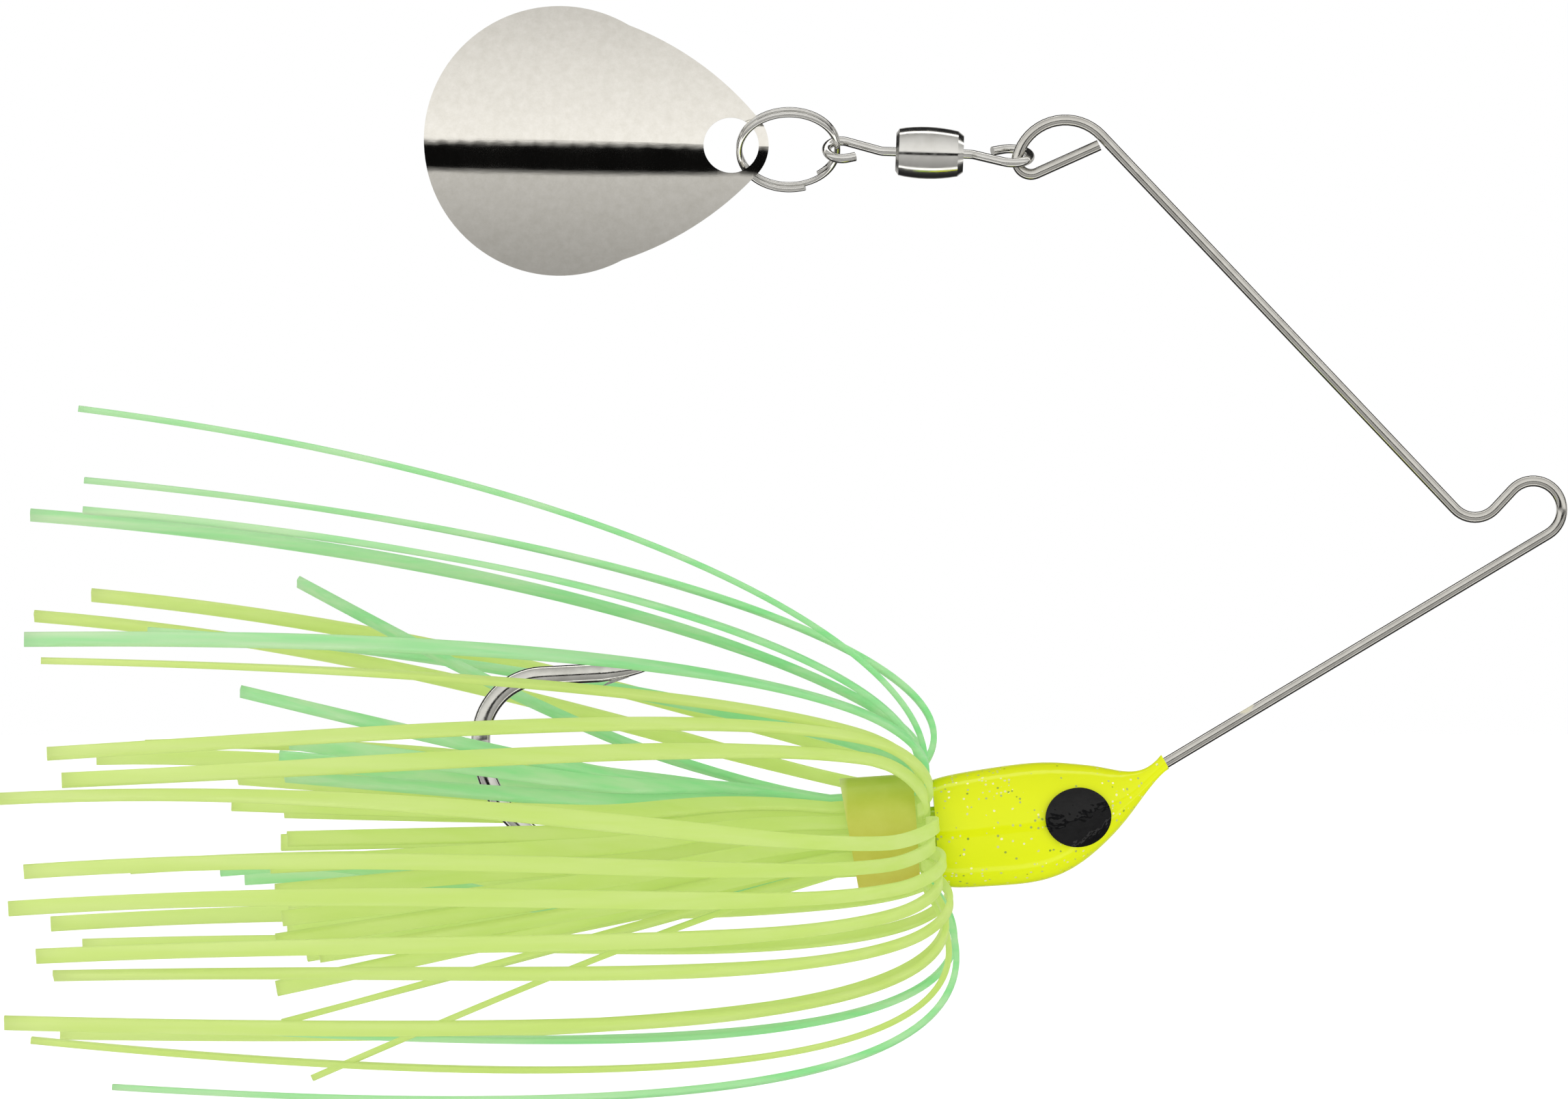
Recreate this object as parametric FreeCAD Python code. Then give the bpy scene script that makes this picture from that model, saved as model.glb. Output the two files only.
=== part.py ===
import FreeCAD, Part
import math
import os

from FreeCAD import Vector

# A safety-pin spinnerbait, in millimetres.
# Origin: centre of the line-tie bend. +X points forward, +Z is up in use, and the bait's plane is XZ.

# --- bent wire ---
WIRE_D = 0.9
TIE_RADIUS = 2.33
LOWER_ARM_ANGLE = 30.9
LOWER_ARM_LENGTH = 40.2
ANCHOR_RADIUS = 1.0
ANCHOR_TURN = 50
ANCHOR_LENGTH = 1.3
TIE_TURN = 196.2
TIE_LEG = 2.06
VALLEY_RADIUS = 2.24
VALLEY_TURN = 93.65
UPPER_ARM_LENGTH = 41.85
LOOP_RADIUS = 4.05
LOOP_TURN = 121.15
LOOP_CORNER_RADIUS = 1.15
LOOP_CORNER_TURN = 129.6
LOOP_RETURN = 5.57

# --- axis shared by the hook shank, the lead head and the skirt ---
AXIS_TILT = 4.0
BAND_REAR = Vector(-55.7, 0, -26.5)

# --- hook: distances along the axis are measured forward from the rear of the skirt band ---
HOOK_WIRE_TALL = 1.55
HOOK_WIRE_WIDE = 1.25
HOOK_EYE_STATION = 17.2
HOOK_EYE_RADIUS = 1.5
HOOK_EYE_WIRE = 1.2
SHANK_LENGTH = 35.9
BEND_HEEL_RADIUS = 9.2
BEND_TOP_RADIUS = 5.2
SPEAR_ANGLE = 3.0
SPEAR_LENGTH = 4.6
POINT_LENGTH = 5.2
BARB_LENGTH = 2.6
BARB_HEIGHT = 0.75

# --- lead head: each section has a top point, a bottom point and a half width ---
HEAD_SECTIONS = [
    ((-48.95, -22.0), (-48.35, -30.6), 3.7),
    ((-45.6, -21.25), (-45.0, -30.7), 4.0),
    ((-42.2, -20.75), (-41.6, -30.45), 4.05),
    ((-39.2, -20.57), (-38.3, -29.6), 3.8),
    ((-36.9, -20.74), (-35.6, -27.8), 3.1),
    ((-35.0, -21.0), (-33.6, -25.8), 2.3),
    ((-33.2, -21.3), (-32.2, -24.0), 1.35),
    ((-31.7, -21.1), (-31.0, -22.4), 0.8),
    ((-30.3, -19.95), (-29.65, -21.1), 0.65),
]
HEAD_REAR_STATION = 6.95
COLLAR_RADIUS = 1.85
COLLAR_LIP_RADIUS = 2.15
COLLAR_LIP = 1.2

# --- moulded eyes, one in a shallow seat on each side of the head ---
EYE_CENTRE = Vector(-37.1, 0, -25.0)
EYE_LONG = 5.4
EYE_SHORT = 4.85
EYE_DEPTH = 0.3
EYE_DOME = 0.35

# --- barrel swivel: distances run backward along its axis from the loop wire ---
SWIVEL_HINGE = Vector(-42.05, 0, 28.78)
SWIVEL_TILT = 2.0
EYE_WIRE_D = 0.75
FRONT_EYE_RADIUS = 1.5
FRONT_EYE_FLARE = 28
FRONT_EYE_ROLL = 114
REAR_EYE_RADIUS = 1.22
REAR_EYE_FLARE = 22
REAR_EYE_ROLL = -127.8
REAR_EYE_END = 15.5
EYE_CLEARANCE = 0.08
LOOP_SLACK = 0.26
STEM_HEAD_RADIUS = 0.8
STEM_HEAD_LENGTH = 0.6
BARREL_FRONT = 4.35
BARREL_LENGTH = 5.5
BARREL_BORE_RADIUS = 0.42
BARREL_CAVITY_RADIUS = 0.88
BARREL_END_WALL = 0.9

# --- split ring ---
RING_RADIUS = 4.0
RING_WIRE_D = 0.5
RING_PITCH = 0.52
RING_TURNS = 1.95
RING_CENTRE = Vector(-60.65, -0.12, 29.34)
RING_TILT = -46
RING_END_ANGLE = 70

# --- blade: lengths run backward from the hole, widths are from its centre line ---
BLADE_HOLE = Vector(-65.3, -0.25, 29.65)
BLADE_TILT = 1.6
BLADE_HOLE_RADIUS = 2.25
BLADE_TIP = -3.05
BLADE_TIP_CORNER = (-1.9, 2.55)
BLADE_FLANK = (2.82, 6.65)
BLADE_BOWL_START = (8.6, 9.56)
BLADE_END = 25.0
BLADE_THICKNESS = 0.45
BLADE_CUP_RADIUS = 21.7
BLADE_LENGTH_RADIUS = 60.0
BLADE_DEEPEST = 14.0

# --- skirt band ---
BAND_LENGTH = 5.5
BAND_RADIUS = 4.65
BAND_BORE = 3.52
BAND_CHAMFER = 0.3
BAND_REAR_SLANT = 6.0

# --- skirt strands ---
STRAND_WIDTH = 1.12
STRAND_THICKNESS = 0.5
UNDER_RADIUS = 2.55
OVER_RADIUS = 3.15
FOLD_RADIUS = 0.35
FOLD_GAP = 0.12
LAYER_GAP = 0.1
SPOKE_TOP = 4.8
REAR_FLARE = 0.2
REAR_START = 1.3
TIP_TWIST = 30
CROSSING_TURN = 60
UPPER_PARTING = 0.62
LOWER_PARTING = 0.12
LEVEL_CLOCK = 80
LOOSE_CLOCK = 340
LOOSE_LEAN = 9.0

# One row for each strand, clockwise from the top as seen from behind the bait's tail, looking forward:
# the front tail's handle radii near the fold and past the shoulder, then both tips.
# A tip is (distance behind the band, distance to the far side, height over the axis).
STRANDS = [
    ("mint", 14, 30, (60.1, -1.0, 39.0), (48.2, -9.4, 15.2)),
    ("mint", 12, 24, (60.1, -5.5, 30.7), (44.5, -10.0, 10.9)),
    ("mint", 10.5, 19, (65.4, -8.5, 20.6), (45.1, -10.0, 8.1)),
    ("chartreuse", 9, 16, (64.1, -9.5, 18.8), (49.4, -12.7, 6.3)),
    ("chartreuse", 9.6, 16, (64.0, -12.0, 11.3), (45.2, -11.1, 3.1)),
    ("chartreuse", 8.4, 14, (62.9, -13.2, 9.1), (46.7, -12.1, 1.1)),
    ("chartreuse", 9.2, 14.6, (68.4, -14.5, 8.0), (46.5, -10.8, -1.1)),
    ("chartreuse", 9, 14, (66.4, -14.0, 2.0), (46.1, -10.2, -3.3)),
    ("chartreuse", 10, 15, (67.9, -13.0, -0.9), (46.8, -8.9, -5.1)),
    ("chartreuse", 11, 16, (66.0, -12.0, -4.9), (43.4, -7.6, -6.6)),
    ("chartreuse", 13, 17, (64.8, -10.5, -6.6), (47.1, -6.8, -9.0)),
    ("chartreuse", 16, 19, (69.2, -7.5, -10.2), (46.9, -5.2, -11.8)),
    ("mint", 22, 23, (61.0, -4.5, -16.1), (51.1, -3.6, 0.9)),
    ("chartreuse", 20, 21, (67.6, 0.0, -12.0), (45.0, 0.5, -16.7)),
    ("mint", 18, 19, (61.6, 4.5, -11.2), (49.5, 3.6, -0.1)),
    ("chartreuse", 16, 20, (65.7, 8.5, -11.8), (46.0, 6.2, -9.2)),
    ("chartreuse", 12, 17, (63.5, 11.0, -4.9), (45.0, 7.8, -6.8)),
    ("chartreuse", 10, 15, (66.1, 13.0, -3.0), (46.5, 9.2, -4.7)),
    ("chartreuse", 9, 14, (59.3, 14.0, 1.2), (46.3, 10.4, -2.6)),
    ("chartreuse", 9, 15, (61.5, 15.5, 10.4), (46.2, 11.0, -0.2)),
    ("chartreuse", 8, 14, (57.2, 11.5, 11.2), (46.6, 11.3, 2.4)),
    ("chartreuse", 10, 18, (65.8, 15.4, 22.4), (46.2, 12.0, 5.0)),
    ("chartreuse", 10, 19, (60.9, 14.0, 23.8), (49.8, 11.6, 7.9)),
    ("mint", 9, 17, (56.3, 11.3, 20.6), (46.2, 9.8, 9.3)),
    ("mint", 12, 24, (65.1, 7.5, 30.7), (44.5, 7.6, 10.4)),
    ("mint", 13, 26, (60.3, 4.0, 33.2), (43.7, 11.0, 23.7)),
]


def ray(angle):
    """Unit vector in the XZ plane, turned up from +X."""
    return Vector(math.cos(math.radians(angle)), 0, math.sin(math.radians(angle)))


def axis_point(forward, side=0.0, up=0.0):
    """A point placed along, beside and above the tilted shank axis."""
    return BAND_REAR + ray(AXIS_TILT) * forward + Vector(0, side, 0) + ray(AXIS_TILT + 90) * up


def bent_path(start, heading, legs):
    """Lines and arcs in the XZ plane. A leg is a straight run, then a bend radius and its turn to the left."""
    edges = []
    point = start
    for run, radius, turn in legs:
        if run:
            corner = point + ray(heading) * run
            edges.append(Part.makeLine(point, corner))
            point = corner
        if turn:
            side = math.copysign(90, turn)
            centre = point + ray(heading + side) * radius
            middle = centre + ray(heading - side + turn / 2) * radius
            end = centre + ray(heading - side + turn) * radius
            edges.append(Part.Arc(point, middle, end).toShape())
            point = end
            heading += turn
    return edges


def circle_wire(centre, normal, radius):
    return Part.Wire(Part.Circle(centre, normal, radius).toShape())


def swept(edges, profile):
    path = Part.Wire(edges)
    return path.makePipeShell([profile], True, False)


def round_bar(start, heading, legs, diameter):
    """A round wire bent along the legs."""
    return swept(bent_path(start, heading, legs), circle_wire(start, ray(heading), diameter / 2))


def cylinder_between(start, end, radius):
    length = (end - start).Length
    return Part.makeCylinder(radius, length, start, end - start)


def wire_frame():
    """The bait's arms, line tie and swivel loop, bent from one piece of round wire."""
    tie_start = ray(LOWER_ARM_ANGLE - 90) * TIE_RADIUS
    neck = tie_start - ray(LOWER_ARM_ANGLE) * LOWER_ARM_LENGTH
    anchor_heading = LOWER_ARM_ANGLE + 180
    anchor = bent_path(
        neck,
        anchor_heading,
        [(0, ANCHOR_RADIUS, -ANCHOR_TURN), (ANCHOR_LENGTH, 0, 0)],
    )
    arms = bent_path(
        neck,
        LOWER_ARM_ANGLE,
        [
            (LOWER_ARM_LENGTH, TIE_RADIUS, TIE_TURN),
            (TIE_LEG, VALLEY_RADIUS, -VALLEY_TURN),
            (UPPER_ARM_LENGTH, LOOP_RADIUS, LOOP_TURN),
            (0, LOOP_CORNER_RADIUS, LOOP_CORNER_TURN),
            (LOOP_RETURN, 0, 0),
        ],
    )
    outward = swept(arms, circle_wire(neck, ray(LOWER_ARM_ANGLE), WIRE_D / 2))
    inward = swept(anchor, circle_wire(neck, ray(anchor_heading), WIRE_D / 2))
    return outward.fuse(inward).removeSplitter()


def oval_wire(centre, tall, wide):
    """A closed smooth oval that always starts at its top, so that lofts through ovals don't twist."""
    points = []
    for step in range(12):
        angle = math.radians(30 * step)
        points.append(centre + tall * math.cos(angle) + wide * math.sin(angle))
    curve = Part.BSplineCurve()
    curve.interpolate(points, True)
    return Part.Wire(curve.toShape())


def hook():
    """Forged hook: eye inside the head, straight shank, two-radius bend, tapered point and barb."""
    shank_start = axis_point(HOOK_EYE_STATION - HOOK_EYE_RADIUS)
    heading = AXIS_TILT + 180
    tall = ray(heading + 90) * (HOOK_WIRE_TALL / 2)
    wide = Vector(0, HOOK_WIRE_WIDE / 2, 0)
    profile = oval_wire(shank_start, tall, wide)
    legs = [
        (SHANK_LENGTH, BEND_HEEL_RADIUS, -(heading - 90)),
        (0, BEND_TOP_RADIUS, -(90 - SPEAR_ANGLE)),
        (SPEAR_LENGTH, 0, 0),
    ]
    edges = bent_path(shank_start, heading, legs)
    body = swept(edges, profile)
    spear_end = edges[-1].Vertexes[-1].Point
    up = ray(SPEAR_ANGLE + 90)
    sections = []
    for share, scale in ((0, 1), (0.5, 0.72), (1, 0.06)):
        # the point rises along the outer side of the spear
        rise = up * (HOOK_WIRE_TALL / 2 * (1 - scale) * 0.6)
        centre = spear_end + ray(SPEAR_ANGLE) * (POINT_LENGTH * share) + rise
        sections.append(oval_wire(centre, up * (HOOK_WIRE_TALL / 2 * scale), wide * scale))
    point = Part.makeLoft(sections, True, False)
    barb_root = spear_end + up * (-HOOK_WIRE_TALL * 0.3) + ray(SPEAR_ANGLE) * BARB_LENGTH
    barb = Part.Face(
        Part.makePolygon(
            [
                barb_root,
                barb_root - ray(SPEAR_ANGLE) * BARB_LENGTH - up * BARB_HEIGHT,
                barb_root - ray(SPEAR_ANGLE) * (BARB_LENGTH * 0.45),
                barb_root,
            ]
        )
    )
    barb.translate(Vector(0, -HOOK_WIRE_WIDE / 5, 0))
    barb = barb.extrude(Vector(0, HOOK_WIRE_WIDE * 0.4, 0))
    eye = Part.makeTorus(HOOK_EYE_RADIUS, HOOK_EYE_WIRE / 2, axis_point(HOOK_EYE_STATION), Vector(0, 1, 0))
    return body.fuse([point, barb, eye]).removeSplitter()


def head_loft(extra_width):
    """The head's tapering body, swollen or shrunk sideways."""
    sections = []
    for top, bottom, half_width in HEAD_SECTIONS:
        top = Vector(top[0], 0, top[1])
        bottom = Vector(bottom[0], 0, bottom[1])
        half_across = Vector(0, half_width + extra_width, 0)
        sections.append(oval_wire((top + bottom) * 0.5, (top - bottom) * 0.5, half_across))
    return Part.makeLoft(sections, True, False)


def eye_prism(side):
    """An elliptic column through one side of the head, where that side's eye sits."""
    face = Part.Face(oval_wire(EYE_CENTRE, ray(AXIS_TILT + 90) * (EYE_SHORT / 2), ray(AXIS_TILT) * (EYE_LONG / 2)))
    return face.extrude(Vector(0, side * 8, 0))


def moulded_eye(side):
    """A domed eye that fills its seat and stands proud of the head."""
    return eye_prism(side).common(head_loft(EYE_DOME)).cut(head_loft(-EYE_DEPTH))


def lead_head(wire, hook_shape):
    """Lead cast round the hook and the wire, with a keeper collar behind and a seat for each eye."""
    body = head_loft(0)
    seats = [eye_prism(side).cut(head_loft(-EYE_DEPTH)) for side in (-1, 1)]
    rear_cut = Part.makeCylinder(12, 12, axis_point(HEAD_REAR_STATION), ray(AXIS_TILT + 180))
    body = body.cut(rear_cut)
    collar = cylinder_between(axis_point(0), axis_point(HEAD_REAR_STATION + 1), COLLAR_RADIUS)
    lip = Part.makeCone(COLLAR_RADIUS, COLLAR_LIP_RADIUS, COLLAR_LIP, axis_point(COLLAR_LIP), ray(AXIS_TILT + 180))
    return body.fuse([collar, lip]).cut(seats + [wire, hook_shape]).removeSplitter()


def swivel_placed(shape, distance, roll, outward):
    """Rolls a shape about its own X axis and lays X along the swivel, pointing to the blade or to the wire."""
    shape = shape.copy()
    shape.rotate(Vector(), Vector(1, 0, 0), roll)
    shape.rotate(Vector(), Vector(0, 1, 0), SWIVEL_TILT + (180 if outward else 0))
    shape.translate(SWIVEL_HINGE + ray(180 - SWIVEL_TILT) * distance)
    return shape


def swivel_eye(radius, flare, stem):
    """A teardrop loop of wire on a stem along X, with an upset head at the stem's inner end."""
    side = radius / math.tan(math.radians(flare))
    tail = side - EYE_WIRE_D * 1.15 / math.sin(math.radians(flare))
    crotch_radius = EYE_WIRE_D * 1.2
    setback = crotch_radius * math.tan(math.radians(flare / 2))
    legs = [
        (stem - setback, crotch_radius, flare),
        (side - setback, radius, -(180 + 2 * flare)),
        (tail, 0, 0),
    ]
    loop = round_bar(Vector(), 0, legs, EYE_WIRE_D)
    head = Part.makeCylinder(STEM_HEAD_RADIUS, STEM_HEAD_LENGTH, Vector(), Vector(1, 0, 0))
    return loop.fuse(head).removeSplitter()


def teardrop_length(radius, flare):
    """From the point where a teardrop's legs meet to the centre of the wire at its far end."""
    return radius / math.sin(math.radians(flare)) + radius


def swivel_front_eye():
    """The swivel's eye on the wire loop."""
    end = -(WIRE_D + EYE_WIRE_D) / 2 - LOOP_SLACK
    start = BARREL_FRONT + BARREL_END_WALL + EYE_CLEARANCE + STEM_HEAD_LENGTH
    stem = start - end - teardrop_length(FRONT_EYE_RADIUS, FRONT_EYE_FLARE)
    eye = swivel_eye(FRONT_EYE_RADIUS, FRONT_EYE_FLARE, stem)
    return swivel_placed(eye, start, FRONT_EYE_ROLL, False)


def swivel_rear_eye():
    """The swivel's eye on the split ring."""
    start = BARREL_FRONT + BARREL_LENGTH - BARREL_END_WALL - EYE_CLEARANCE - STEM_HEAD_LENGTH
    stem = REAR_EYE_END - start - teardrop_length(REAR_EYE_RADIUS, REAR_EYE_FLARE)
    eye = swivel_eye(REAR_EYE_RADIUS, REAR_EYE_FLARE, stem)
    return swivel_placed(eye, start, REAR_EYE_ROLL, True)


def swivel_barrel():
    """A swaged barrel, hollow for the two stem heads, with a bore at each end."""
    outline = [
        (0, BARREL_BORE_RADIUS),
        (0, 1.5),
        (0.45, 1.85),
        (BARREL_LENGTH - 0.75, 2.0),
        (BARREL_LENGTH - 0.25, 1.9),
        (BARREL_LENGTH, 1.55),
        (BARREL_LENGTH, BARREL_BORE_RADIUS),
    ]
    low, start, shoulder, girth, rim, end, inner = [Vector(x, 0, z) for x, z in outline]
    bulge = Vector(BARREL_LENGTH * 0.5, 0, 2.12)
    edges = [
        Part.makeLine(low, start),
        Part.makeLine(start, shoulder),
        Part.Arc(shoulder, bulge, girth).toShape(),
        Part.makeLine(girth, rim),
        Part.makeLine(rim, end),
        Part.makeLine(end, inner),
        Part.makeLine(inner, low),
    ]
    body = Part.Face(Part.Wire(edges)).revolve(Vector(), Vector(1, 0, 0), 360)
    cavity = Part.makeCylinder(
        BARREL_CAVITY_RADIUS, BARREL_LENGTH - 2 * BARREL_END_WALL, Vector(BARREL_END_WALL, 0, 0), Vector(1, 0, 0)
    )
    return swivel_placed(body.cut(cavity), BARREL_FRONT, 0, True)


def split_ring():
    """Two touching turns of spring wire."""
    height = RING_PITCH * RING_TURNS
    helix = Part.makeHelix(RING_PITCH, height, RING_RADIUS)
    start = Vector(RING_RADIUS, 0, 0)
    ring = Part.Wire(helix).makePipeShell([circle_wire(start, Vector(0, 1, 0), RING_WIRE_D / 2)], True, True)
    ring.translate(Vector(0, 0, -height / 2))
    ring.rotate(Vector(), Vector(0, 0, 1), RING_END_ANGLE)
    ring.rotate(Vector(), Vector(1, 0, 0), RING_TILT)
    ring.translate(RING_CENTRE)
    return ring


def blade():
    """A cupped teardrop blade with one hole."""

    def at(point, side=1):
        return Vector(point[0], 0, side * point[1])

    edges = [
        Part.Arc(at(BLADE_TIP_CORNER, -1), Vector(BLADE_TIP, 0, 0), at(BLADE_TIP_CORNER)).toShape(),
        Part.Arc(at(BLADE_TIP_CORNER), at(BLADE_FLANK), at(BLADE_BOWL_START)).toShape(),
        Part.Arc(at(BLADE_BOWL_START), Vector(BLADE_END, 0, 0), at(BLADE_BOWL_START, -1)).toShape(),
        Part.Arc(at(BLADE_BOWL_START, -1), at(BLADE_FLANK, -1), at(BLADE_TIP_CORNER, -1)).toShape(),
    ]
    outline = Part.Face(Part.Wire(edges))
    outline.translate(Vector(0, -8, 0))
    prism = outline.extrude(Vector(0, 16, 0))
    bowl_face = -(BLADE_DEEPEST**2) / (2 * BLADE_LENGTH_RADIUS) - BLADE_THICKNESS / 2
    centre = Vector(BLADE_DEEPEST, bowl_face + BLADE_LENGTH_RADIUS, 0)
    major = BLADE_LENGTH_RADIUS - BLADE_CUP_RADIUS
    outer = Part.makeTorus(major, BLADE_CUP_RADIUS, centre, Vector(0, 0, 1))
    inner = Part.makeTorus(major, BLADE_CUP_RADIUS - BLADE_THICKNESS, centre, Vector(0, 0, 1))
    hole = Part.makeCylinder(BLADE_HOLE_RADIUS, 8, Vector(0, -4, 0), Vector(0, 1, 0))
    sheet = prism.common(outer).cut([inner, hole])
    # lay the blade's length along -X
    sheet = sheet.mirror(Vector(), Vector(1, 0, 0))
    sheet.rotate(Vector(), Vector(0, 1, 0), BLADE_TILT)
    sheet.translate(BLADE_HOLE)
    return sheet


def skirt_band():
    """A soft tube round the strands, with its rear cut a little out of square."""
    tube = cylinder_between(axis_point(-1), axis_point(BAND_LENGTH), BAND_RADIUS)
    bore = cylinder_between(axis_point(-2), axis_point(BAND_LENGTH + 1), BAND_BORE)
    mouth = Part.makeCone(
        BAND_BORE, BAND_BORE + BAND_CHAMFER, BAND_CHAMFER, axis_point(BAND_LENGTH - BAND_CHAMFER), ray(AXIS_TILT)
    )
    rear = Part.makeCylinder(9, 9, axis_point(0), ray(AXIS_TILT + BAND_REAR_SLANT + 180))
    return tube.cut([bore, mouth, rear])


def bezier(points, u):
    """Point of a cubic curve in any number of dimensions."""
    weights = ((1 - u) ** 3, 3 * u * (1 - u) ** 2, 3 * u * u * (1 - u), u**3)
    return [sum(w * p[i] for w, p in zip(weights, points)) for i in range(len(points[0]))]


def eased(u):
    """0 to 1 with a level start and end."""
    u = min(max(u, 0), 1)
    return u * u * (3 - 2 * u)


def clock_of(side, up):
    """Angle round the axis in degrees: 0 is up, 90 is to the near side."""
    return math.degrees(math.atan2(-side, up))


def nearest_turn(angle, reference):
    return angle + 360 * round((reference - angle) / 360)


def rear_route(layer_radius, clock, tip):
    """Stations of a rear tail from its tip to the band: distance forward, radius, clock angle."""
    back, side, up = tip
    tip_radius = math.hypot(side, up)
    tip_clock = nearest_turn(clock_of(side, up), clock)
    third = back / 3
    handle = layer_radius + REAR_FLARE * third
    late = handle + (tip_radius - handle) * 0.5
    points = [(-REAR_START, layer_radius), (-third, handle), (-2 * third, late), (-back, tip_radius)]
    stations = []
    # a tail that crosses under its neighbours waits until they have spread
    crossing = abs(tip_clock - clock) > CROSSING_TURN
    begin, span = (0.3, 0.6) if crossing else (0.03, 0.4)
    for u in (1, 0.86, 0.72, 0.58, 0.45, 0.33, 0.22, 0.12, 0.05, 0):
        forward, radius = bezier(points, u)
        stations.append((forward, radius, clock + (tip_clock - clock) * eased((u - begin) / span)))
    return stations


def parted(clock):
    """Clock angle of a front tail once it is round the fold: the near side parts above and below its middle."""
    if clock < LEVEL_CLOCK:
        return clock * UPPER_PARTING
    if clock < 180:
        return clock + LOWER_PARTING * (180 - clock)
    return clock


def front_route(layer_radius, spoke, clock, reach, shoulder, tip):
    """Stations of a front tail, from inside the band round the fold and back to its tip."""
    back, side, up = tip
    tip_radius = math.hypot(side, up)
    tip_clock = nearest_turn(clock_of(side, up), clock)
    start = spoke - FOLD_RADIUS
    stations = [(0.6, layer_radius, clock), (start * 0.5, layer_radius, clock), (start - 0.3, layer_radius, clock)]
    for turn in (0, 30, 60, 90):
        angle = math.radians(turn)
        forward = start + FOLD_RADIUS * math.sin(angle)
        stations.append((forward, layer_radius + FOLD_RADIUS * (1 - math.cos(angle)), clock))
    # the lower loops hang further forward than the upper ones, and one upper loop stands away from the rest
    lean = LOOSE_LEAN if clock > LOOSE_CLOCK else 5.5 - 3.5 * math.cos(math.radians(clock))
    lane = parted(clock)
    points = [(spoke, SPOKE_TOP), (spoke + lean, reach), (-15, shoulder), (-back, tip_radius)]
    for u in (0, 0.04, 0.08, 0.12, 0.17, 0.22, 0.28, 0.34, 0.41, 0.49, 0.57, 0.66, 0.76, 0.88, 1):
        forward, radius = bezier(points, u)
        turned = clock + (lane - clock) * eased(u / 0.3)
        stations.append((forward, radius, turned + (tip_clock - lane) * eased((u - 0.25) / 0.75)))
    return stations


def strand_stations(index):
    """All stations of one strand, from its rear tip to its front tip."""
    _, reach, shoulder, front_tip, rear_tip = STRANDS[index]
    clock = index * 360 / len(STRANDS)
    under = index % 2 == 0
    layer_radius = UNDER_RADIUS if under else OVER_RADIUS
    spoke = BAND_LENGTH + FOLD_GAP + STRAND_THICKNESS / 2
    if under:
        spoke += STRAND_THICKNESS + LAYER_GAP
    rear = rear_route(layer_radius, clock, rear_tip)
    return rear + front_route(layer_radius, spoke, clock, reach, shoulder, front_tip)


def strand_frames(index):
    """Centre, across and outward vectors at each station of a strand."""
    stations = strand_stations(index)
    centres = []
    rims = []
    for forward, radius, clock in stations:
        angle = math.radians(clock)
        centres.append(axis_point(forward, -radius * math.sin(angle), radius * math.cos(angle)))
        rims.append(Vector(0, -math.cos(angle), 0) - ray(AXIS_TILT + 90) * math.sin(angle))
    frames = []
    last = len(centres) - 1
    for i, centre in enumerate(centres):
        along = centres[min(i + 1, last)] - centres[max(i - 1, 0)]
        along.normalize()
        across = rims[i] - along * rims[i].dot(along)
        across.normalize()
        outward = along.cross(across)
        # each tail twists a little towards its tip, some one way and some the other
        share = abs(stations[i][0]) / 60 if stations[i][0] < -8 else 0
        twist = math.radians(TIP_TWIST * math.sin(2.4 * index) * eased(share))
        turned = across * math.cos(twist) + outward * math.sin(twist)
        frames.append((centre, turned, along.cross(turned)))
    return frames


def strand(index):
    """A flat silicone strand: short ruled lengths between the rectangles at its stations."""
    sections = []
    for centre, across, outward in strand_frames(index):
        ring = []
        for across_sign, outward_sign in ((-1, -1), (1, -1), (1, 1), (-1, 1)):
            offset = across * (across_sign * STRAND_WIDTH / 2) + outward * (outward_sign * STRAND_THICKNESS / 2)
            ring.append(centre + offset)
        sections.append(Part.makePolygon(ring + ring[:1]))
    return Part.makeLoft(sections, True, True)


def all_parts():
    """Every sub-part by its node name."""
    wire = wire_frame()
    hook_shape = hook()
    parts = {
        "wire_frame": wire,
        "hook": hook_shape,
        "lead_head": lead_head(wire, hook_shape),
        "eye_near": moulded_eye(-1),
        "eye_far": moulded_eye(1),
        "swivel_front_eye": swivel_front_eye(),
        "swivel_barrel": swivel_barrel(),
        "swivel_rear_eye": swivel_rear_eye(),
        "split_ring": split_ring(),
        "blade": blade(),
        "skirt_band": skirt_band(),
    }
    for index, row in enumerate(STRANDS):
        parts[f"strand_{index + 1:02d}_{row[0]}"] = strand(index)
    return parts


os.makedirs("parts", exist_ok=True)
for name, shape in all_parts().items():
    print(name, round(shape.Volume, 2), shape.isValid(), len(shape.Solids))
    shape.exportStep(f"parts/{name}.step")
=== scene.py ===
"""Looks for the spinnerbait: silicone skirt, materials, studio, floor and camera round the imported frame."""

import math
import random

import bmesh
import bpy
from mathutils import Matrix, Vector


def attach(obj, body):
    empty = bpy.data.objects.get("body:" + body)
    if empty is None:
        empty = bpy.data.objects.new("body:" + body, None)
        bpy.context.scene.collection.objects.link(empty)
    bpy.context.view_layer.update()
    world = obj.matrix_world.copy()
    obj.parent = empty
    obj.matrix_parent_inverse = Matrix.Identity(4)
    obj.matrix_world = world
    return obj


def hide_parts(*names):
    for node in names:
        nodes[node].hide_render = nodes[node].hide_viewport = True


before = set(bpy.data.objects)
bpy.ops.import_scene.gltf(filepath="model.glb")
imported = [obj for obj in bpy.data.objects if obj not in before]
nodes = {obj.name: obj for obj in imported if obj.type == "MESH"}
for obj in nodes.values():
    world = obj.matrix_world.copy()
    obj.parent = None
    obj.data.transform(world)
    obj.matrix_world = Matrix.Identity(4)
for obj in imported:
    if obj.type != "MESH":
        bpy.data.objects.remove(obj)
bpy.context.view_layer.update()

MM = 0.001

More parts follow.
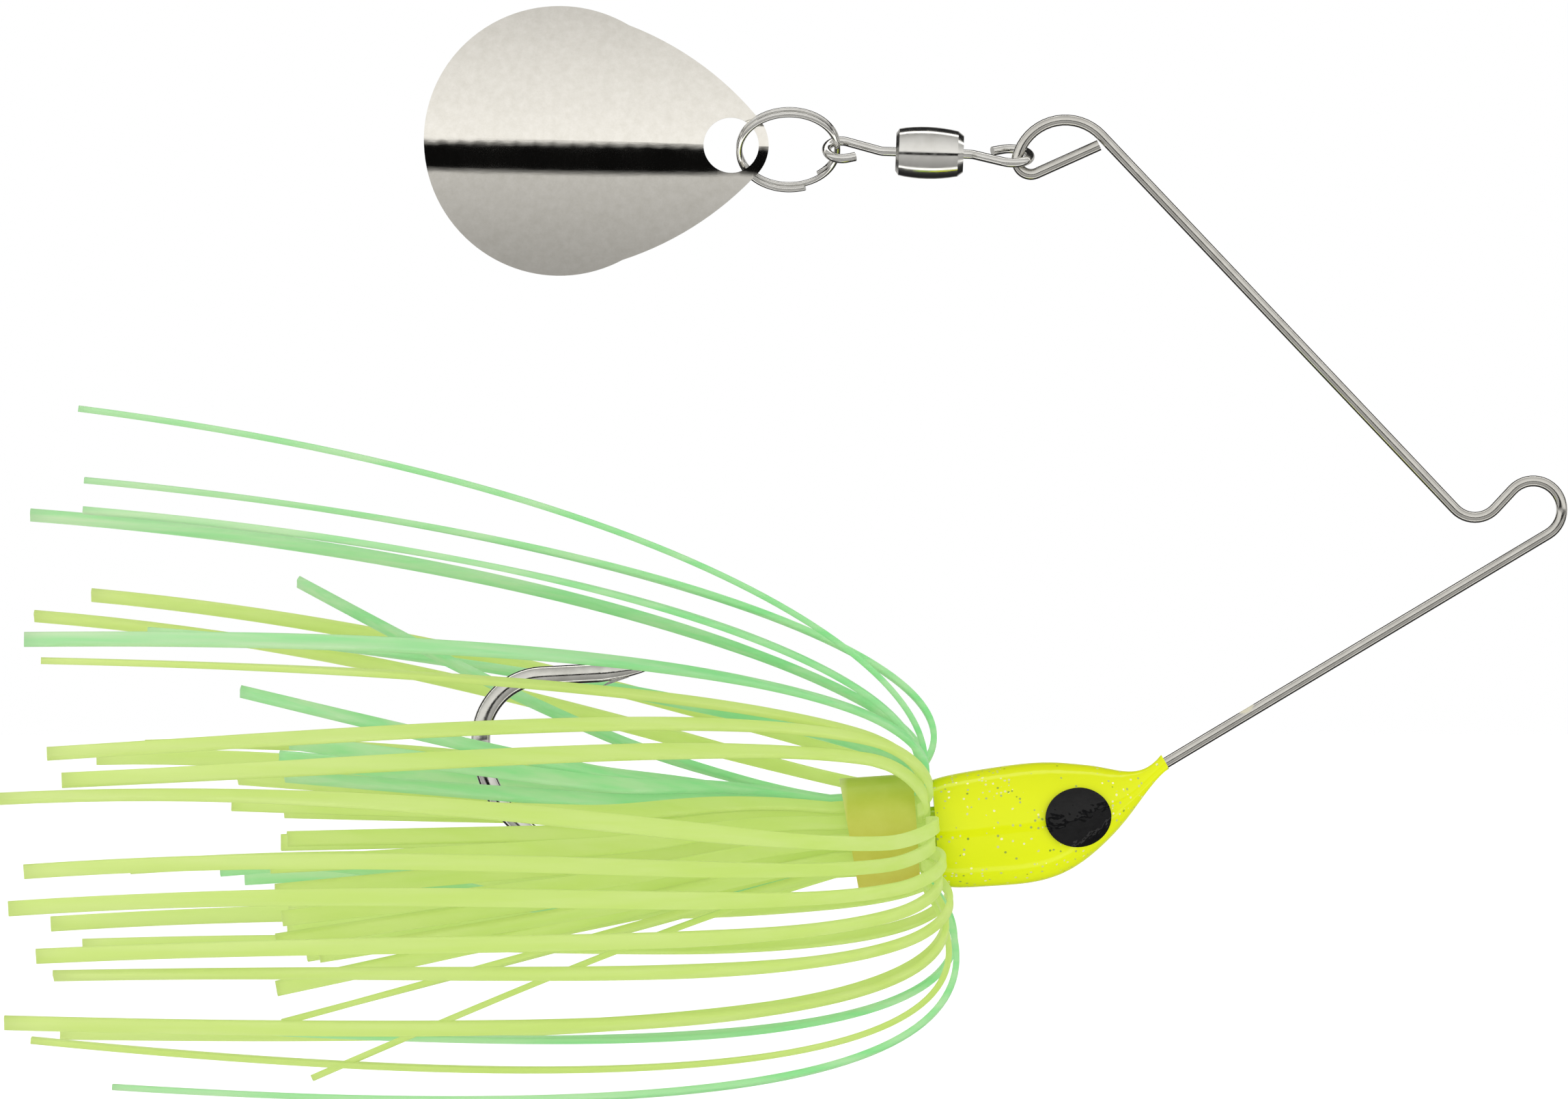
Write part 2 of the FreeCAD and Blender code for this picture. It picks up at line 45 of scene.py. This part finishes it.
# --- skirt: the same routes as the CAD strands, in millimetres ---
AXIS_TILT = math.radians(4)
BAND_REAR = Vector((-55.7, 0, -26.5))
BAND_LENGTH = 5.5
STRAND_WIDTH = 1.12
STRAND_THICKNESS = 0.5
STRAND_CORNER = 0.14
UNDER_RADIUS = 2.55
OVER_RADIUS = 3.15
FOLD_RADIUS = 0.35
FOLD_GAP = 0.12
LAYER_GAP = 0.1
SPOKE_TOP = 4.8
REAR_FLARE = 0.2
REAR_START = 1.3
TIP_TWIST = 30
CROSSING_TURN = 60
UPPER_PARTING = 0.62
LOWER_PARTING = 0.12
LEVEL_CLOCK = 80
LOOSE_CLOCK = 340
LOOSE_LEAN = 9.0

# One row for each strand: colour, the front tail's handle radii, and the front and rear tips as
# (distance behind the band, distance to the far side, height over the axis).
STRANDS = [
    ("mint", 14, 30, (60.1, -1.0, 39.0), (48.2, -9.4, 15.2)),
    ("mint", 12, 24, (60.1, -5.5, 30.7), (44.5, -10.0, 10.9)),
    ("mint", 10.5, 19, (65.4, -8.5, 20.6), (45.1, -10.0, 8.1)),
    ("chartreuse", 9, 16, (64.1, -9.5, 18.8), (49.4, -12.7, 6.3)),
    ("chartreuse", 9.6, 16, (64.0, -12.0, 11.3), (45.2, -11.1, 3.1)),
    ("chartreuse", 8.4, 14, (62.9, -13.2, 9.1), (46.7, -12.1, 1.1)),
    ("chartreuse", 9.2, 14.6, (68.4, -14.5, 8.0), (46.5, -10.8, -1.1)),
    ("chartreuse", 9, 14, (66.4, -14.0, 2.0), (46.1, -10.2, -3.3)),
    ("chartreuse", 10, 15, (67.9, -13.0, -0.9), (46.8, -8.9, -5.1)),
    ("chartreuse", 11, 16, (66.0, -12.0, -4.9), (43.4, -7.6, -6.6)),
    ("chartreuse", 13, 17, (64.8, -10.5, -6.6), (47.1, -6.8, -9.0)),
    ("chartreuse", 16, 19, (69.2, -7.5, -10.2), (46.9, -5.2, -11.8)),
    ("mint", 22, 23, (61.0, -4.5, -16.1), (51.1, -3.6, 0.9)),
    ("chartreuse", 20, 21, (67.6, 0.0, -12.0), (45.0, 0.5, -16.7)),
    ("mint", 18, 19, (61.6, 4.5, -11.2), (49.5, 3.6, -0.1)),
    ("chartreuse", 16, 20, (65.7, 8.5, -11.8), (46.0, 6.2, -9.2)),
    ("chartreuse", 12, 17, (63.5, 11.0, -4.9), (45.0, 7.8, -6.8)),
    ("chartreuse", 10, 15, (66.1, 13.0, -3.0), (46.5, 9.2, -4.7)),
    ("chartreuse", 9, 14, (59.3, 14.0, 1.2), (46.3, 10.4, -2.6)),
    ("chartreuse", 9, 15, (61.5, 15.5, 10.4), (46.2, 11.0, -0.2)),
    ("chartreuse", 8, 14, (57.2, 11.5, 11.2), (46.6, 11.3, 2.4)),
    ("chartreuse", 10, 18, (65.8, 15.4, 22.4), (46.2, 12.0, 5.0)),
    ("chartreuse", 10, 19, (60.9, 14.0, 23.8), (49.8, 11.6, 7.9)),
    ("mint", 9, 17, (56.3, 11.3, 20.6), (46.2, 9.8, 9.3)),
    ("mint", 12, 24, (65.1, 7.5, 30.7), (44.5, 7.6, 10.4)),
    ("mint", 13, 26, (60.3, 4.0, 33.2), (43.7, 11.0, 23.7)),
]


def ray(angle):
    """Unit vector in the XZ plane, turned up from +X."""
    return Vector((math.cos(angle), 0, math.sin(angle)))


def axis_point(forward, side=0.0, up=0.0):
    """A point placed along, beside and above the tilted shank axis."""
    return BAND_REAR + ray(AXIS_TILT) * forward + Vector((0, side, 0)) + ray(AXIS_TILT + math.pi / 2) * up


def bezier(points, u):
    """Point of a cubic curve in any number of dimensions."""
    weights = ((1 - u) ** 3, 3 * u * (1 - u) ** 2, 3 * u * u * (1 - u), u**3)
    return [sum(w * p[i] for w, p in zip(weights, points)) for i in range(len(points[0]))]


def eased(u):
    """0 to 1 with a level start and end."""
    u = min(max(u, 0), 1)
    return u * u * (3 - 2 * u)


def nearest_turn(angle, reference):
    return angle + 360 * round((reference - angle) / 360)


def tip_polar(tip, clock):
    """Radius of a tip from the axis, and its clock angle counted from the strand's own."""
    _, side, up = tip
    return math.hypot(side, up), nearest_turn(math.degrees(math.atan2(-side, up)), clock)


def rear_route(layer_radius, clock, tip, steps=44):
    """Stations of a rear tail from its tip to the band: distance forward, radius, clock angle."""
    back = tip[0]
    tip_radius, tip_clock = tip_polar(tip, clock)
    third = back / 3
    handle = layer_radius + REAR_FLARE * third
    late = handle + (tip_radius - handle) * 0.5
    points = [(-REAR_START, layer_radius), (-third, handle), (-2 * third, late), (-back, tip_radius)]
    crossing = abs(tip_clock - clock) > CROSSING_TURN
    begin, span = (0.3, 0.6) if crossing else (0.03, 0.4)
    stations = []
    for i in range(steps, -1, -1):
        u = i / steps
        forward, radius = bezier(points, u)
        stations.append((forward, radius, clock + (tip_clock - clock) * eased((u - begin) / span)))
    return stations


def parted(clock):
    """Clock angle of a front tail once it is round the fold: the near side parts above and below."""
    if clock < LEVEL_CLOCK:
        return clock * UPPER_PARTING
    if clock < 180:
        return clock + LOWER_PARTING * (180 - clock)
    return clock


def front_route(layer_radius, spoke, clock, reach, shoulder, tip, steps=60):
    """Stations of a front tail, from inside the band round the fold and back to its tip."""
    tip_radius, tip_clock = tip_polar(tip, clock)
    start = spoke - FOLD_RADIUS
    stations = [(start * i / 5, layer_radius, clock) for i in range(1, 5)]
    for turn in range(0, 91, 15):
        angle = math.radians(turn)
        forward = start + FOLD_RADIUS * math.sin(angle)
        stations.append((forward, layer_radius + FOLD_RADIUS * (1 - math.cos(angle)), clock))
    # the lower loops hang further forward than the upper ones, and one upper loop stands away from the rest
    lean = LOOSE_LEAN if clock > LOOSE_CLOCK else 5.5 - 3.5 * math.cos(math.radians(clock))
    lane = parted(clock)
    points = [(spoke, SPOKE_TOP), (spoke + lean, reach), (-15, shoulder), (-tip[0], tip_radius)]
    for i in range(steps + 1):
        u = (i / steps) ** 1.3
        forward, radius = bezier(points, u)
        turned = clock + (lane - clock) * eased(u / 0.3)
        stations.append((forward, radius, turned + (tip_clock - lane) * eased((u - 0.25) / 0.75)))
    return stations


def strand_stations(index):
    _, reach, shoulder, front_tip, rear_tip = STRANDS[index]
    clock = index * 360 / len(STRANDS)
    under = index % 2 == 0
    layer_radius = UNDER_RADIUS if under else OVER_RADIUS
    spoke = BAND_LENGTH + FOLD_GAP + STRAND_THICKNESS / 2
    if under:
        spoke += STRAND_THICKNESS + LAYER_GAP
    rear = rear_route(layer_radius, clock, rear_tip)
    return rear + front_route(layer_radius, spoke, clock, reach, shoulder, front_tip)


def strand_frames(index):
    """Centre, across and outward vectors at each station of a strand."""
    stations = strand_stations(index)
    centres = []
    rims = []
    for forward, radius, clock in stations:
        angle = math.radians(clock)
        centres.append(axis_point(forward, -radius * math.sin(angle), radius * math.cos(angle)))
        rims.append(Vector((0, -math.cos(angle), 0)) - ray(AXIS_TILT + math.pi / 2) * math.sin(angle))
    frames = []
    last = len(centres) - 1
    for i, centre in enumerate(centres):
        along = (centres[min(i + 1, last)] - centres[max(i - 1, 0)]).normalized()
        across = (rims[i] - along * rims[i].dot(along)).normalized()
        outward = along.cross(across)
        # each tail twists a little towards its tip, some one way and some the other
        share = abs(stations[i][0]) / 60 if stations[i][0] < -8 else 0
        twist = math.radians(TIP_TWIST * math.sin(2.4 * index) * eased(share))
        turned = across * math.cos(twist) + outward * math.sin(twist)
        frames.append((stations[i][0], centre, turned, along.cross(turned)))
    return frames


def strand_outline(width, thickness):
    """A flat oblong with softly rounded corners and faces that sink a little in the middle."""
    outline = []
    for x_sign, y_sign, first in ((1, 1, 0), (-1, 1, 90), (-1, -1, 180), (1, -1, 270)):
        for turn in (0, 45, 90):
            angle = math.radians(first + turn)
            outline.append((
                x_sign * (width / 2 - STRAND_CORNER) + STRAND_CORNER * math.cos(angle),
                y_sign * (thickness / 2 - STRAND_CORNER) + STRAND_CORNER * math.sin(angle),
            ))
        if first in (0, 180):
            outline.append((0, y_sign * thickness * 0.45))
    return outline


def strand_piece(index):
    """One skirt strand as a closed, smooth ribbon that stands for its CAD node."""
    colour = STRANDS[index][0]
    node = f"strand_{index + 1:02d}_{colour}"
    chance = random.Random(index)
    width = STRAND_WIDTH * chance.uniform(0.97, 1.06)
    swell = chance.uniform(0.2, 0.4)
    mesh = bmesh.new()
    rings = []
    for forward, centre, across, outward in strand_frames(index):
        # the ribbon swells once it is clear of the band, and thins again further back
        open_share = eased((-forward - 2) / 12) * (1 - 0.7 * eased((-forward - 30) / 30))
        outline = strand_outline(width + swell * open_share, STRAND_THICKNESS)
        rings.append([mesh.verts.new((centre + across * x + outward * y) * MM) for x, y in outline])
    count = len(rings[0])
    for first, second in zip(rings, rings[1:]):
        for i in range(count):
            j = (i + 1) % count
            mesh.faces.new((first[i], first[j], second[j], second[i]))
    mesh.faces.new(list(reversed(rings[0])))
    mesh.faces.new(rings[-1])
    bmesh.ops.recalc_face_normals(mesh, faces=mesh.faces)
    data = bpy.data.meshes.new(f"silicone_{index + 1:02d}")
    mesh.to_mesh(data)
    mesh.free()
    for face in data.polygons:
        face.use_smooth = True
    piece = bpy.data.objects.new(f"silicone_{index + 1:02d}_{colour}", data)
    bpy.context.scene.collection.objects.link(piece)
    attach(piece, "skirt")
    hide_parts(node)
    piece.visible_glossy = False
    return piece


# --- materials ---

class Shader:
    """A Principled material with short helpers for its texture nodes."""

    def __init__(self, name, **values):
        self.material = bpy.data.materials.new(name)
        self.material.use_nodes = True
        self.nodes = self.material.node_tree.nodes
        self.links = self.material.node_tree.links
        self.surface = self.nodes["Principled BSDF"]
        for key, value in values.items():
            self.surface.inputs[key.replace("_", " ")].default_value = value
        self.place = self.nodes.new("ShaderNodeTexCoord").outputs["Object"]

    def add(self, kind, inputs=None, **settings):
        node = self.nodes.new(kind)
        for key, value in settings.items():
            setattr(node, key, value)
        for key, value in (inputs or {}).items():
            if isinstance(value, bpy.types.NodeSocket):
                self.links.new(value, node.inputs[key])
            else:
                node.inputs[key].default_value = value
        return node

    def stretched(self, scale):
        return self.add("ShaderNodeMapping", {"Vector": self.place, "Scale": scale}).outputs["Vector"]

    def noise(self, scale, detail=3.0, vector=None, rough=0.5):
        values = {"Vector": vector or self.place, "Scale": scale, "Detail": detail, "Roughness": rough}
        return self.add("ShaderNodeTexNoise", values).outputs["Fac"]

    def mapped(self, value, low, high, out_low, out_high):
        values = {"Value": value, "From Min": low, "From Max": high, "To Min": out_low, "To Max": out_high}
        return self.add("ShaderNodeMapRange", values).outputs["Result"]

    def mixed(self, factor, first, second):
        node = self.add("ShaderNodeMix", data_type="RGBA")
        for socket, value in ((node.inputs[0], factor), (node.inputs[6], first), (node.inputs[7], second)):
            if isinstance(value, bpy.types.NodeSocket):
                self.links.new(value, socket)
            else:
                socket.default_value = value
        return node.outputs[2]

    def bump(self, height, strength, distance):
        values = {"Height": height, "Strength": strength, "Distance": distance}
        node = self.add("ShaderNodeBump", values)
        self.links.new(node.outputs["Normal"], self.surface.inputs["Normal"])

    def drive(self, name, value):
        self.links.new(value, self.surface.inputs[name])


PAINT_FLECK = (-0.0236, -0.0002, -0.0158)
PAINT_FLECK_RADIUS = 0.0009


def wire_steel():
    """Drawn stainless wire: dull, with faint handling marks and one dried fleck on the lower arm."""
    m = Shader("wire_steel")
    steel = m.mixed(m.noise(900, 4), (0.52, 0.51, 0.48, 1), (0.78, 0.77, 0.73, 1))
    reach = m.add("ShaderNodeVectorMath", {0: m.place, 1: PAINT_FLECK}, operation="DISTANCE").outputs["Value"]
    fleck = m.mapped(reach, PAINT_FLECK_RADIUS * 0.8, PAINT_FLECK_RADIUS, 1, 0)
    m.drive("Base Color", m.mixed(fleck, steel, (0.62, 0.58, 0.44, 1)))
    m.drive("Metallic", m.mapped(fleck, 0, 1, 1, 0))
    m.drive("Roughness", m.mapped(m.noise(2500, 2), 0.3, 0.7, 0.10, 0.20))
    m.bump(m.noise(7000, 2), 0.05, 0.00002)
    return m.material


def hook_steel():
    """Tinned hook wire: bright, with darker flow marks."""
    m = Shader("hook_steel", Metallic=1.0)
    cloud = m.noise(700, 5)
    m.drive("Base Color", m.mixed(cloud, (0.46, 0.46, 0.42, 1), (0.88, 0.88, 0.84, 1)))
    m.drive("Roughness", m.mapped(m.noise(1500, 3), 0.3, 0.7, 0.08, 0.20))
    m.bump(m.noise(3000, 3), 0.08, 0.00003)
    return m.material


def nickel(name, roughness):
    """Bright plate with a faint uneven polish."""
    m = Shader(name, Metallic=1.0)
    cloud = m.noise(800, 4)
    m.drive("Base Color", m.mixed(cloud, (0.66, 0.65, 0.62, 1), (0.86, 0.86, 0.84, 1)))
    m.drive("Roughness", m.mapped(m.noise(2000, 3), 0.3, 0.7, roughness * 0.7, roughness * 1.4))
    m.bump(m.noise(1800, 3), 0.04, 0.00003)
    return m.material


def blade_nickel():
    """The blade's plate: fine brushing along its length over a slightly mottled stamping."""
    m = Shader("blade_nickel", Metallic=1.0)
    mottle = m.noise(1400, 6, rough=0.7)
    m.drive("Base Color", m.mixed(mottle, (0.70, 0.68, 0.62, 1), (0.97, 0.95, 0.91, 1)))
    m.drive("Roughness", m.mapped(m.noise(350, 4), 0.3, 0.7, 0.035, 0.065))
    brushing = m.noise(2500, 3, m.stretched((0.2, 1, 1)))
    m.bump(brushing, 0.05, 0.00002)
    return m.material


def head_paint():
    """Fluorescent paint with fine glitter under a clear gloss."""
    m = Shader("head_paint", Roughness=0.32, Coat_Weight=0.5, Coat_Roughness=0.03, Specular_IOR_Level=0.1)
    paint = m.mixed(m.noise(120, 2), (0.66, 0.75, 0.0, 1), (0.76, 0.82, 0.0, 1))
    # a small cell holds a round flake if its random red passes a threshold that varies in patches
    flakes = m.add("ShaderNodeTexVoronoi", {"Vector": m.place, "Scale": 3300.0, "Randomness": 1.0})
    cell = m.add("ShaderNodeSeparateColor", {"Color": flakes.outputs["Color"]})
    size = m.mapped(flakes.outputs["Distance"], 0.32, 0.38, 1, 0)
    patch = m.mapped(m.noise(240, 2), 0.40, 0.62, 0.95, 0.72)
    chosen = m.add("ShaderNodeMath", {0: cell.outputs["Red"], 1: patch}, operation="GREATER_THAN").outputs[0]
    flake = m.add("ShaderNodeMath", {0: chosen, 1: size}, operation="MULTIPLY").outputs[0]
    # each flake mixes at random between a pale colour, a painted glint of glitter catching the light, and a
    # dark olive
    flake_tone_and_glint = m.mixed(cell.outputs["Green"], (1.0, 0.95, 0.55, 1), (0.28, 0.40, 0.01, 1))
    m.drive("Base Color", m.mixed(flake, paint, flake_tone_and_glint))
    m.drive("Metallic", m.mapped(flake, 0, 1, 0.0, 0.25))
    m.bump(m.noise(150, 2), 0.08, 0.0002)
    return m.material


def eye_black():
    """Raised black enamel with a slightly crumpled skin."""
    m = Shader("eye_black", Roughness=0.12, Specular_IOR_Level=0.22)
    m.drive("Base Color", m.mixed(m.noise(1500, 3), (0.003, 0.003, 0.003, 1), (0.009, 0.009, 0.010, 1)))
    m.bump(m.noise(900, 2), 0.8, 0.0003)
    return m.material


SKIRT_FRONT = -0.060
SKIRT_TIPS = -0.118


def silicone(name, deep, pale, painted_glow):
    """Milky see-through silicone with faint lengthwise streaks and a painted glow, its colour deeper near the
    band as painted shade where the strands stack, and paler towards the tips.
    """
    # Emission_Color and Emission_Strength are a painted glow that lifts the strands where they shade one
    # another.
    m = Shader(
        name, Transmission_Weight=0.40, IOR=1.35, Specular_IOR_Level=0.3,
        Emission_Color=painted_glow, Emission_Strength=0.32,
    )
    streak = m.mapped(m.noise(220, 3, m.stretched((0.25, 4, 4))), 0.35, 0.65, 0, 0.6)
    # painted shade: the colour is deeper near the band, where the strands stack, and paler towards the tips
    along = m.add("ShaderNodeSeparateXYZ", {"Vector": m.place}).outputs["X"]
    painted_overlap_fade = m.mapped(along, SKIRT_FRONT, SKIRT_TIPS, 0, 0.4)
    share = m.add("ShaderNodeMath", {0: streak, 1: painted_overlap_fade}, operation="ADD").outputs[0]
    m.drive("Base Color", m.mixed(share, deep, pale))
    m.drive("Roughness", m.mapped(m.noise(900, 3), 0.3, 0.7, 0.34, 0.50))
    m.bump(m.noise(1500, 3, m.stretched((0.4, 1.5, 1.5))), 0.10, 0.00006)
    return m.material


def band_silicone():
    """The collar's thicker silicone: olive, yellower underneath, with a paler rear rim."""
    corners = nodes["skirt_band"].bound_box
    heights = [corner[2] for corner in corners]
    rear = min(corner[0] for corner in corners)
    # Emission_Color and Emission_Strength are a faint painted glow over the collar.
    m = Shader(
        "band_silicone", Transmission_Weight=0.15, IOR=1.4,
        Emission_Color=(0.55, 0.60, 0.05, 1), Emission_Strength=0.10,
    )
    place = m.add("ShaderNodeSeparateXYZ", {"Vector": m.place}).outputs
    height = m.mapped(place["Z"], min(heights), max(heights), 0, 1)
    body = m.mixed(height, (0.62, 0.50, 0.09, 1), (0.48, 0.60, 0.07, 1))
    cloud = m.mixed(m.mapped(m.noise(500, 4), 0.35, 0.65, 0, 0.25), body, (0.70, 0.72, 0.20, 1))
    rim = m.mapped(place["X"], rear + 0.1 * MM, rear + 0.7 * MM, 0.7, 0)
    m.drive("Base Color", m.mixed(rim, cloud, (0.78, 0.80, 0.45, 1)))
    m.drive("Roughness", m.mapped(m.noise(900, 3), 0.3, 0.7, 0.30, 0.45))
    m.bump(m.noise(1500, 3, m.stretched((0.4, 1.5, 1.5))), 0.10, 0.00006)
    return m.material


# --- studio: lengths in metres, lens and sensor in millimetres ---

CAMERA_DISTANCE = 1.0638
PICTURE_CENTRE = (-0.0610, -0.00325)
LENS = 300
SENSOR_WIDTH = 36
FLOOR_HEIGHT = -0.075
FLOOR_RADIUS = 4.0


def camera():
    """A long lens, level and square to the bait's plane."""
    data = bpy.data.cameras.new("camera")
    data.lens = LENS
    data.sensor_width = SENSOR_WIDTH
    data.clip_start = 0.01
    cam = bpy.data.objects.new("camera", data)
    cam.location = (PICTURE_CENTRE[0], -CAMERA_DISTANCE, PICTURE_CENTRE[1])
    cam.rotation_euler = (math.pi / 2, 0, 0)
    bpy.context.scene.collection.objects.link(cam)
    bpy.context.scene.camera = cam


def floor():
    """A plain white disc under the bait, left out of what metal reflects."""
    mesh = bmesh.new()
    bmesh.ops.create_circle(mesh, cap_ends=True, segments=96, radius=FLOOR_RADIUS)
    data = bpy.data.meshes.new("floor")
    mesh.to_mesh(data)
    mesh.free()
    ground = bpy.data.objects.new("floor", data)
    ground.location = (PICTURE_CENTRE[0], 0, FLOOR_HEIGHT)
    bpy.context.scene.collection.objects.link(ground)
    white = (0.93, 0.93, 0.93, 1)
    m = Shader(
        "floor_white", Base_Color=white, Roughness=0.7,
        Emission_Color=(1, 1, 1, 1), Emission_Strength=0.25,
    )
    data.materials.append(m.material)
    ground.visible_glossy = False


# Brightness of what metal and gloss reflect, by the angle round the lure's long axis in degrees:
# 0 is at the camera, 90 overhead, 180 behind and -90 below.
ROOM = (
    (-180, 0.60), (-160, 0.36), (-152, 0.02), (-115, 0.03), (-88, 0.10), (-84, 1.6), (-76, 1.6), (-72, 0.34),
    (-40, 0.47), (-14, 0.60), (-12, 0.004), (-0.5, 0.004), (1.5, 1.05), (35, 0.88), (75, 0.62), (96, 0.40),
    (100, 2.2), (108, 2.2), (111, 0.10), (122, 0.02), (152, 0.02), (160, 0.42), (180, 0.60),
)
ROOM_TINT = (1, 0.985, 0.955)


def sky():
    """A white room, except that reflections see a studio with a dark strip at the camera's level."""
    world = bpy.data.worlds.new("studio")
    bpy.context.scene.world = world
    world.use_nodes = True
    tree = world.node_tree
    tree.nodes.clear()

    def node(kind, **settings):
        made = tree.nodes.new(kind)
        for key, value in settings.items():
            setattr(made, key, value)
        return made

    direction = node("ShaderNodeTexCoord")
    split = node("ShaderNodeSeparateXYZ")
    tree.links.new(direction.outputs["Generated"], split.inputs[0])
    towards = node("ShaderNodeMath", operation="MULTIPLY")
    towards.inputs[1].default_value = -1
    tree.links.new(split.outputs["Y"], towards.inputs[0])
    angle = node("ShaderNodeMath", operation="ARCTAN2")
    tree.links.new(split.outputs["Z"], angle.inputs[0])
    tree.links.new(towards.outputs[0], angle.inputs[1])
    share = node("ShaderNodeMapRange")
    share.inputs["From Min"].default_value = -math.pi
    share.inputs["From Max"].default_value = math.pi
    tree.links.new(angle.outputs[0], share.inputs["Value"])
    ramp = node("ShaderNodeValToRGB")
    tree.links.new(share.outputs["Result"], ramp.inputs["Fac"])
    for _ in ROOM[2:]:
        ramp.color_ramp.elements.new(0.5)
    for element, (degrees, value) in zip(ramp.color_ramp.elements, ROOM):
        element.position = (degrees + 180) / 360
        element.color = [value * tint for tint in ROOM_TINT] + [1]
    studio = node("ShaderNodeBackground")
    tree.links.new(ramp.outputs["Color"], studio.inputs["Color"])
    plain = node("ShaderNodeBackground")
    plain.inputs["Color"].default_value = (1, 1, 1, 1)
    path = node("ShaderNodeLightPath")
    choose = node("ShaderNodeMixShader")
    tree.links.new(path.outputs["Is Glossy Ray"], choose.inputs[0])
    tree.links.new(plain.outputs[0], choose.inputs[1])
    tree.links.new(studio.outputs[0], choose.inputs[2])
    out = node("ShaderNodeOutputWorld")
    tree.links.new(choose.outputs[0], out.inputs[0])


def soft_light(name, place, size, power):
    """A round softbox aimed at the middle of the bait, left out of what metal reflects."""
    data = bpy.data.lights.new(name, "AREA")
    data.shape = "DISK"
    data.size = size
    data.energy = power
    lamp = bpy.data.objects.new(name, data)
    lamp.location = place
    target = Vector((PICTURE_CENTRE[0], 0, PICTURE_CENTRE[1]))
    lamp.rotation_euler = (target - lamp.location).to_track_quat("-Z", "Y").to_euler()
    lamp.visible_glossy = False
    bpy.context.scene.collection.objects.link(lamp)


camera()
floor()
sky()
soft_light("key", (-0.25, -0.45, 0.65), 0.35, 0.5)
bpy.context.scene.view_settings.view_transform = "Standard"

STRAND_LOOK = {
    "chartreuse": silicone(
        "silicone_chartreuse",
        deep=(0.39, 0.50, 0.13, 1), pale=(0.47, 0.54, 0.24, 1), painted_glow=(0.62, 0.79, 0.21, 1),
    ),
    "mint": silicone(
        "silicone_mint",
        deep=(0.12, 0.50, 0.16, 1), pale=(0.47, 0.54, 0.38, 1), painted_glow=(0.42, 0.76, 0.37, 1),
    ),
}
NODE_LOOK = {
    "wire_frame": wire_steel(),
    "hook": hook_steel(),
    "lead_head": head_paint(),
    "eye_near": eye_black(),
    "swivel_front_eye": nickel("swivel_nickel", 0.14),
    "split_ring": nickel("ring_nickel", 0.10),
    "blade": blade_nickel(),
    "skirt_band": band_silicone(),
}
NODE_LOOK["eye_far"] = NODE_LOOK["eye_near"]
for name in ("swivel_barrel", "swivel_rear_eye"):
    NODE_LOOK[name] = NODE_LOOK["swivel_front_eye"]
for name, material in NODE_LOOK.items():
    for cad_slot in nodes[name].material_slots:
        cad_slot.material = material
for index, row in enumerate(STRANDS):
    strand_piece(index).data.materials.append(STRAND_LOOK[row[0]])
